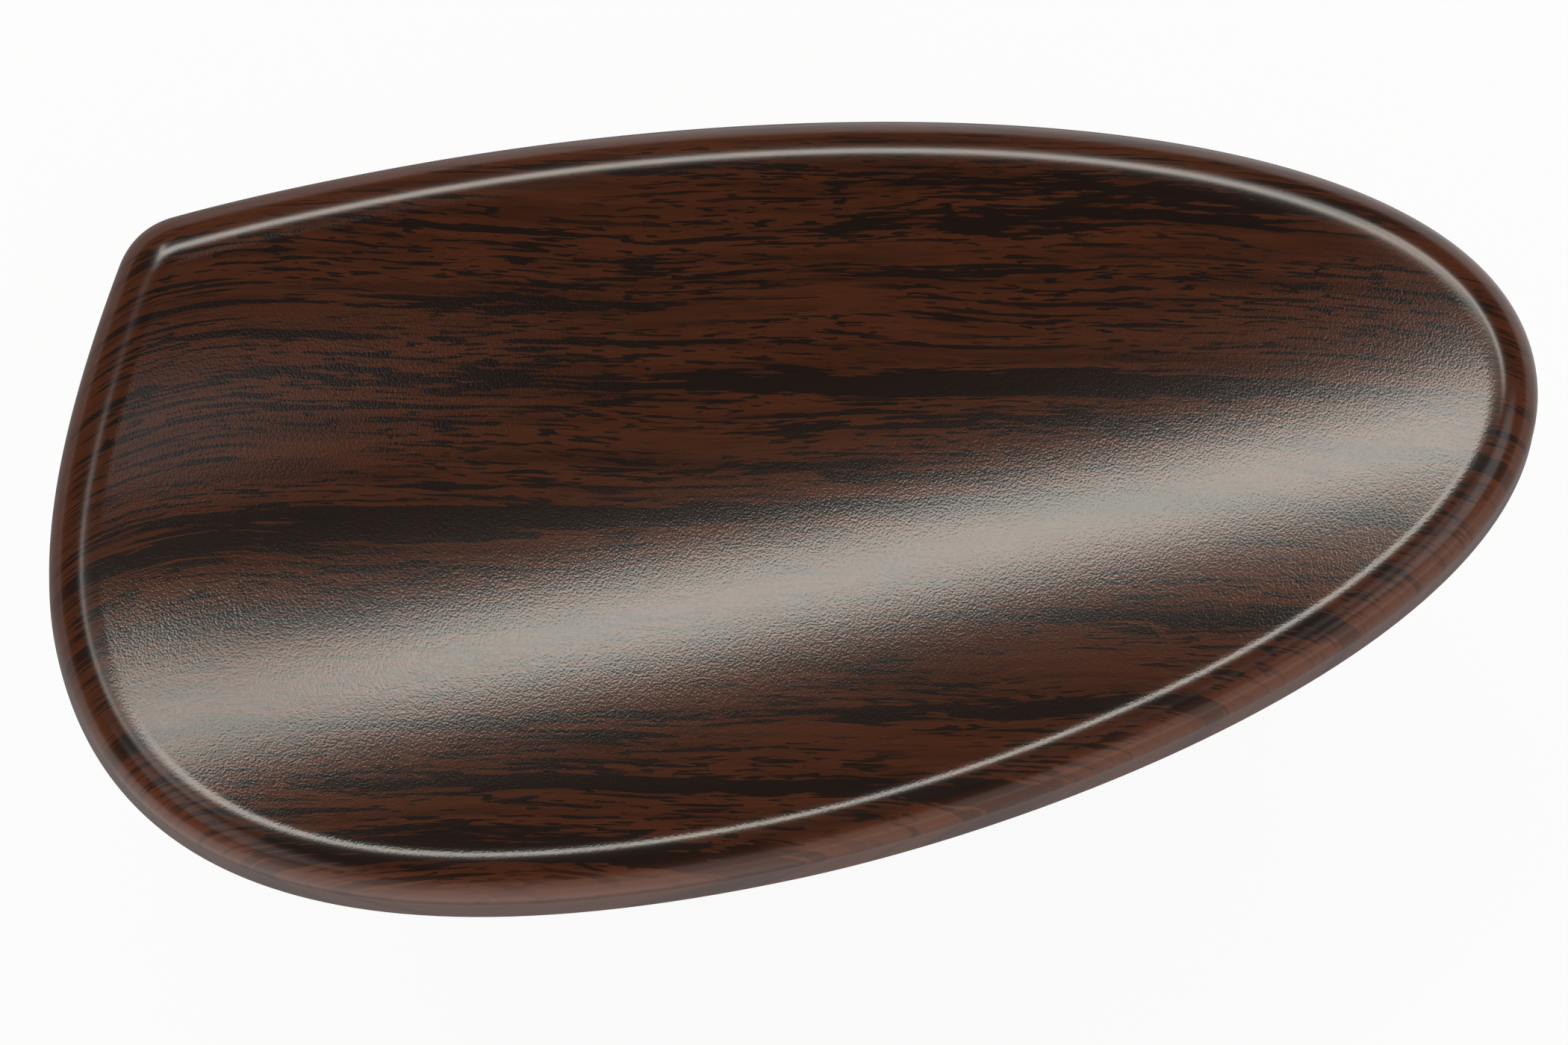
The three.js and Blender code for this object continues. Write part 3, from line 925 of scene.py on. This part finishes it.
# Floor, background and light. A pale floor below the clamp's lowest reach and a plain white
# background. The trough mirrors a long strip lamp behind the plate and a fan at each side of it.
# Weaker lamps low down, in front and at the sides light the rest.

floor_drop = 7 * mm
floor_size = 6
bpy.ops.object.select_all(action="DESELECT")
bpy.ops.mesh.primitive_plane_add(size=floor_size, location=(0, 0, cad_box[0].z - floor_drop))
floor = bpy.context.object
floor.name = "floor"


def light_paths(finish):
    """Two wires that tell what the camera sees itself from what the pieces mirror."""
    path = finish.node("ShaderNodeLightPath")
    mirrored = path["Is Glossy Ray"].maths("MAXIMUM", path["Is Transmission Ray"])
    return path["Is Camera Ray"], mirrored


def pale_floor():
    """White to the camera but for its shadow. The pieces mirror it as dark close by, a painted
    shadow of the pieces, and, further off, as light and dark quarters, which show the barrels'
    roundness."""
    pale = Finish(bpy.data.materials.new("pale_floor"))
    camera_sees, mirrored = light_paths(pale)
    seen = camera_sees * 0.92 + mirrored * 0.9
    point = pale.node("ShaderNodeTexCoord")["Object"]
    away = pale.node("ShaderNodeVectorMath", {"operation": "LENGTH"}, {"Vector": point})["Value"]
    parts = pale.node("ShaderNodeSeparateXYZ", {}, {"Vector": point})
    quarter = (parts["X"] * parts["Y"] / (away * away)).between(-0.3, 0.3)
    # Painted shadow: the mirrored glow is lower close to the pieces, where their shadow falls.
    glow = 1 - mirrored * (0.83 - away.between(0.075, 0.13) * (0.12 + quarter * 0.55))
    matt = pale.node("ShaderNodeBsdfDiffuse", {}, {"Color": (0.7, 0.7, 0.7, 1)})["BSDF"]
    values = {"Color": (1, 1, 1, 1), "Strength": glow}
    white = pale.node("ShaderNodeEmission", {}, values)["Emission"]
    values = {"Fac": seen, "Shader": matt, "Shader_001": white}
    both = pale.node("ShaderNodeMixShader", {}, values)["Shader"]
    pale.node("ShaderNodeOutputMaterial", {}, {"Surface": both})
    return pale.owner


floor.data.materials.append(pale_floor())

world = bpy.data.worlds.new("studio")
bpy.context.scene.world = world
studio = Finish(world)
heading = studio.node("ShaderNodeTexCoord")["Generated"]
height = studio.node("ShaderNodeSeparateXYZ", {}, {"Vector": heading})["Z"]

# White to the camera, pale walls under a dark ceiling in what is mirrored, and soft light all round
camera_sees, mirrored = light_paths(studio)
walls = 0.6 - height.between(0.02, 0.14) * 0.58
around = 1.5 - height.between(0.0, 0.45) * 1.05
strength = around + camera_sees * (1 - around) + mirrored * (walls - around)
values = {"Color": (1, 1, 1, 1), "Strength": strength}
background = studio.node("ShaderNodeBackground", {}, values)["Background"]
studio.node("ShaderNodeOutputWorld", {}, {"Surface": background})

plate_middle = Vector((5, 10, 20)) * mm


def lamp(name, place, length_axis, length, width, radiance, tint=(1, 1, 1)):
    """A soft rectangular lamp that faces the plate, with its length along about one direction."""
    light = bpy.data.lights.new(name, "AREA")
    light.shape = "RECTANGLE"
    light.size = length
    light.size_y = width
    light.energy = radiance * math.pi * length * width
    light.color = tint
    soft_box = bpy.data.objects.new(name, light)
    bpy.context.scene.collection.objects.link(soft_box)
    away = (Vector(place) - plate_middle).normalized()
    across = away.cross(Vector(length_axis)).normalized()
    along = across.cross(away)
    stance = Matrix((along, across, away)).transposed().to_4x4()
    soft_box.matrix_world = Matrix.Translation(Vector(place)) @ stance
    soft_box.visible_camera = False


warm = (1, 0.96, 0.87)
sideways = (1, 0, 0)
inwards = (0, 1, 0)
lamp("back_strip", (-0.02, 0.44, 1), (1, 0.08, 0), 0.54, 0.23, 8.2, warm)
lamp("left_fan", (-0.34, 0.52, 1), inwards, 0.6, 0.12, 7, warm)
lamp("left_low", (-0.37, 0.13, 1), inwards, 0.26, 0.16, 1.8)
lamp("right_fan", (0.37, 0.42, 1), inwards, 0.45, 0.12, 9.5, warm)
lamp("right_low", (0.3, -0.25, 1), inwards, 0.3, 0.18, 0.8)
lamp("front_fill", (0, -1, 0.32), sideways, 2.2, 0.6, 0.45)
lamp("left_side", (-0.75, -0.45, 1), inwards, 1.0, 0.5, 0.7)
lamp("right_side", (0.75, -0.45, 1), inwards, 1.0, 0.5, 1.2)

# Camera. It stands where the photograph was taken from: 83 degrees above the plate, and turned 12
# degrees to the clamp.

camera_elevation = math.radians(83)
camera_distance = 450 * mm
aim = Vector((4.8, 7.5, 25.5)) * mm
pixels_per_mm = 16.5
photo_width = 2100
camera = bpy.data.cameras.new("camera")
camera.sensor_width = 36
camera.lens = camera.sensor_width * pixels_per_mm * camera_distance / mm / photo_width
viewer = bpy.data.objects.new("camera", camera)
bpy.context.scene.collection.objects.link(viewer)
forward = Vector((
    math.sin(photo_turn) * math.cos(camera_elevation),
    math.cos(photo_turn) * math.cos(camera_elevation),
    -math.sin(camera_elevation),
))
rightward = Vector((math.cos(photo_turn), -math.sin(photo_turn), 0))
upward = rightward.cross(forward)
stance = Matrix((rightward, upward, -forward)).transposed().to_4x4()
viewer.matrix_world = Matrix.Translation(aim - forward * camera_distance) @ stance
bpy.context.scene.camera = viewer
bpy.context.scene.view_settings.view_transform = "Standard"
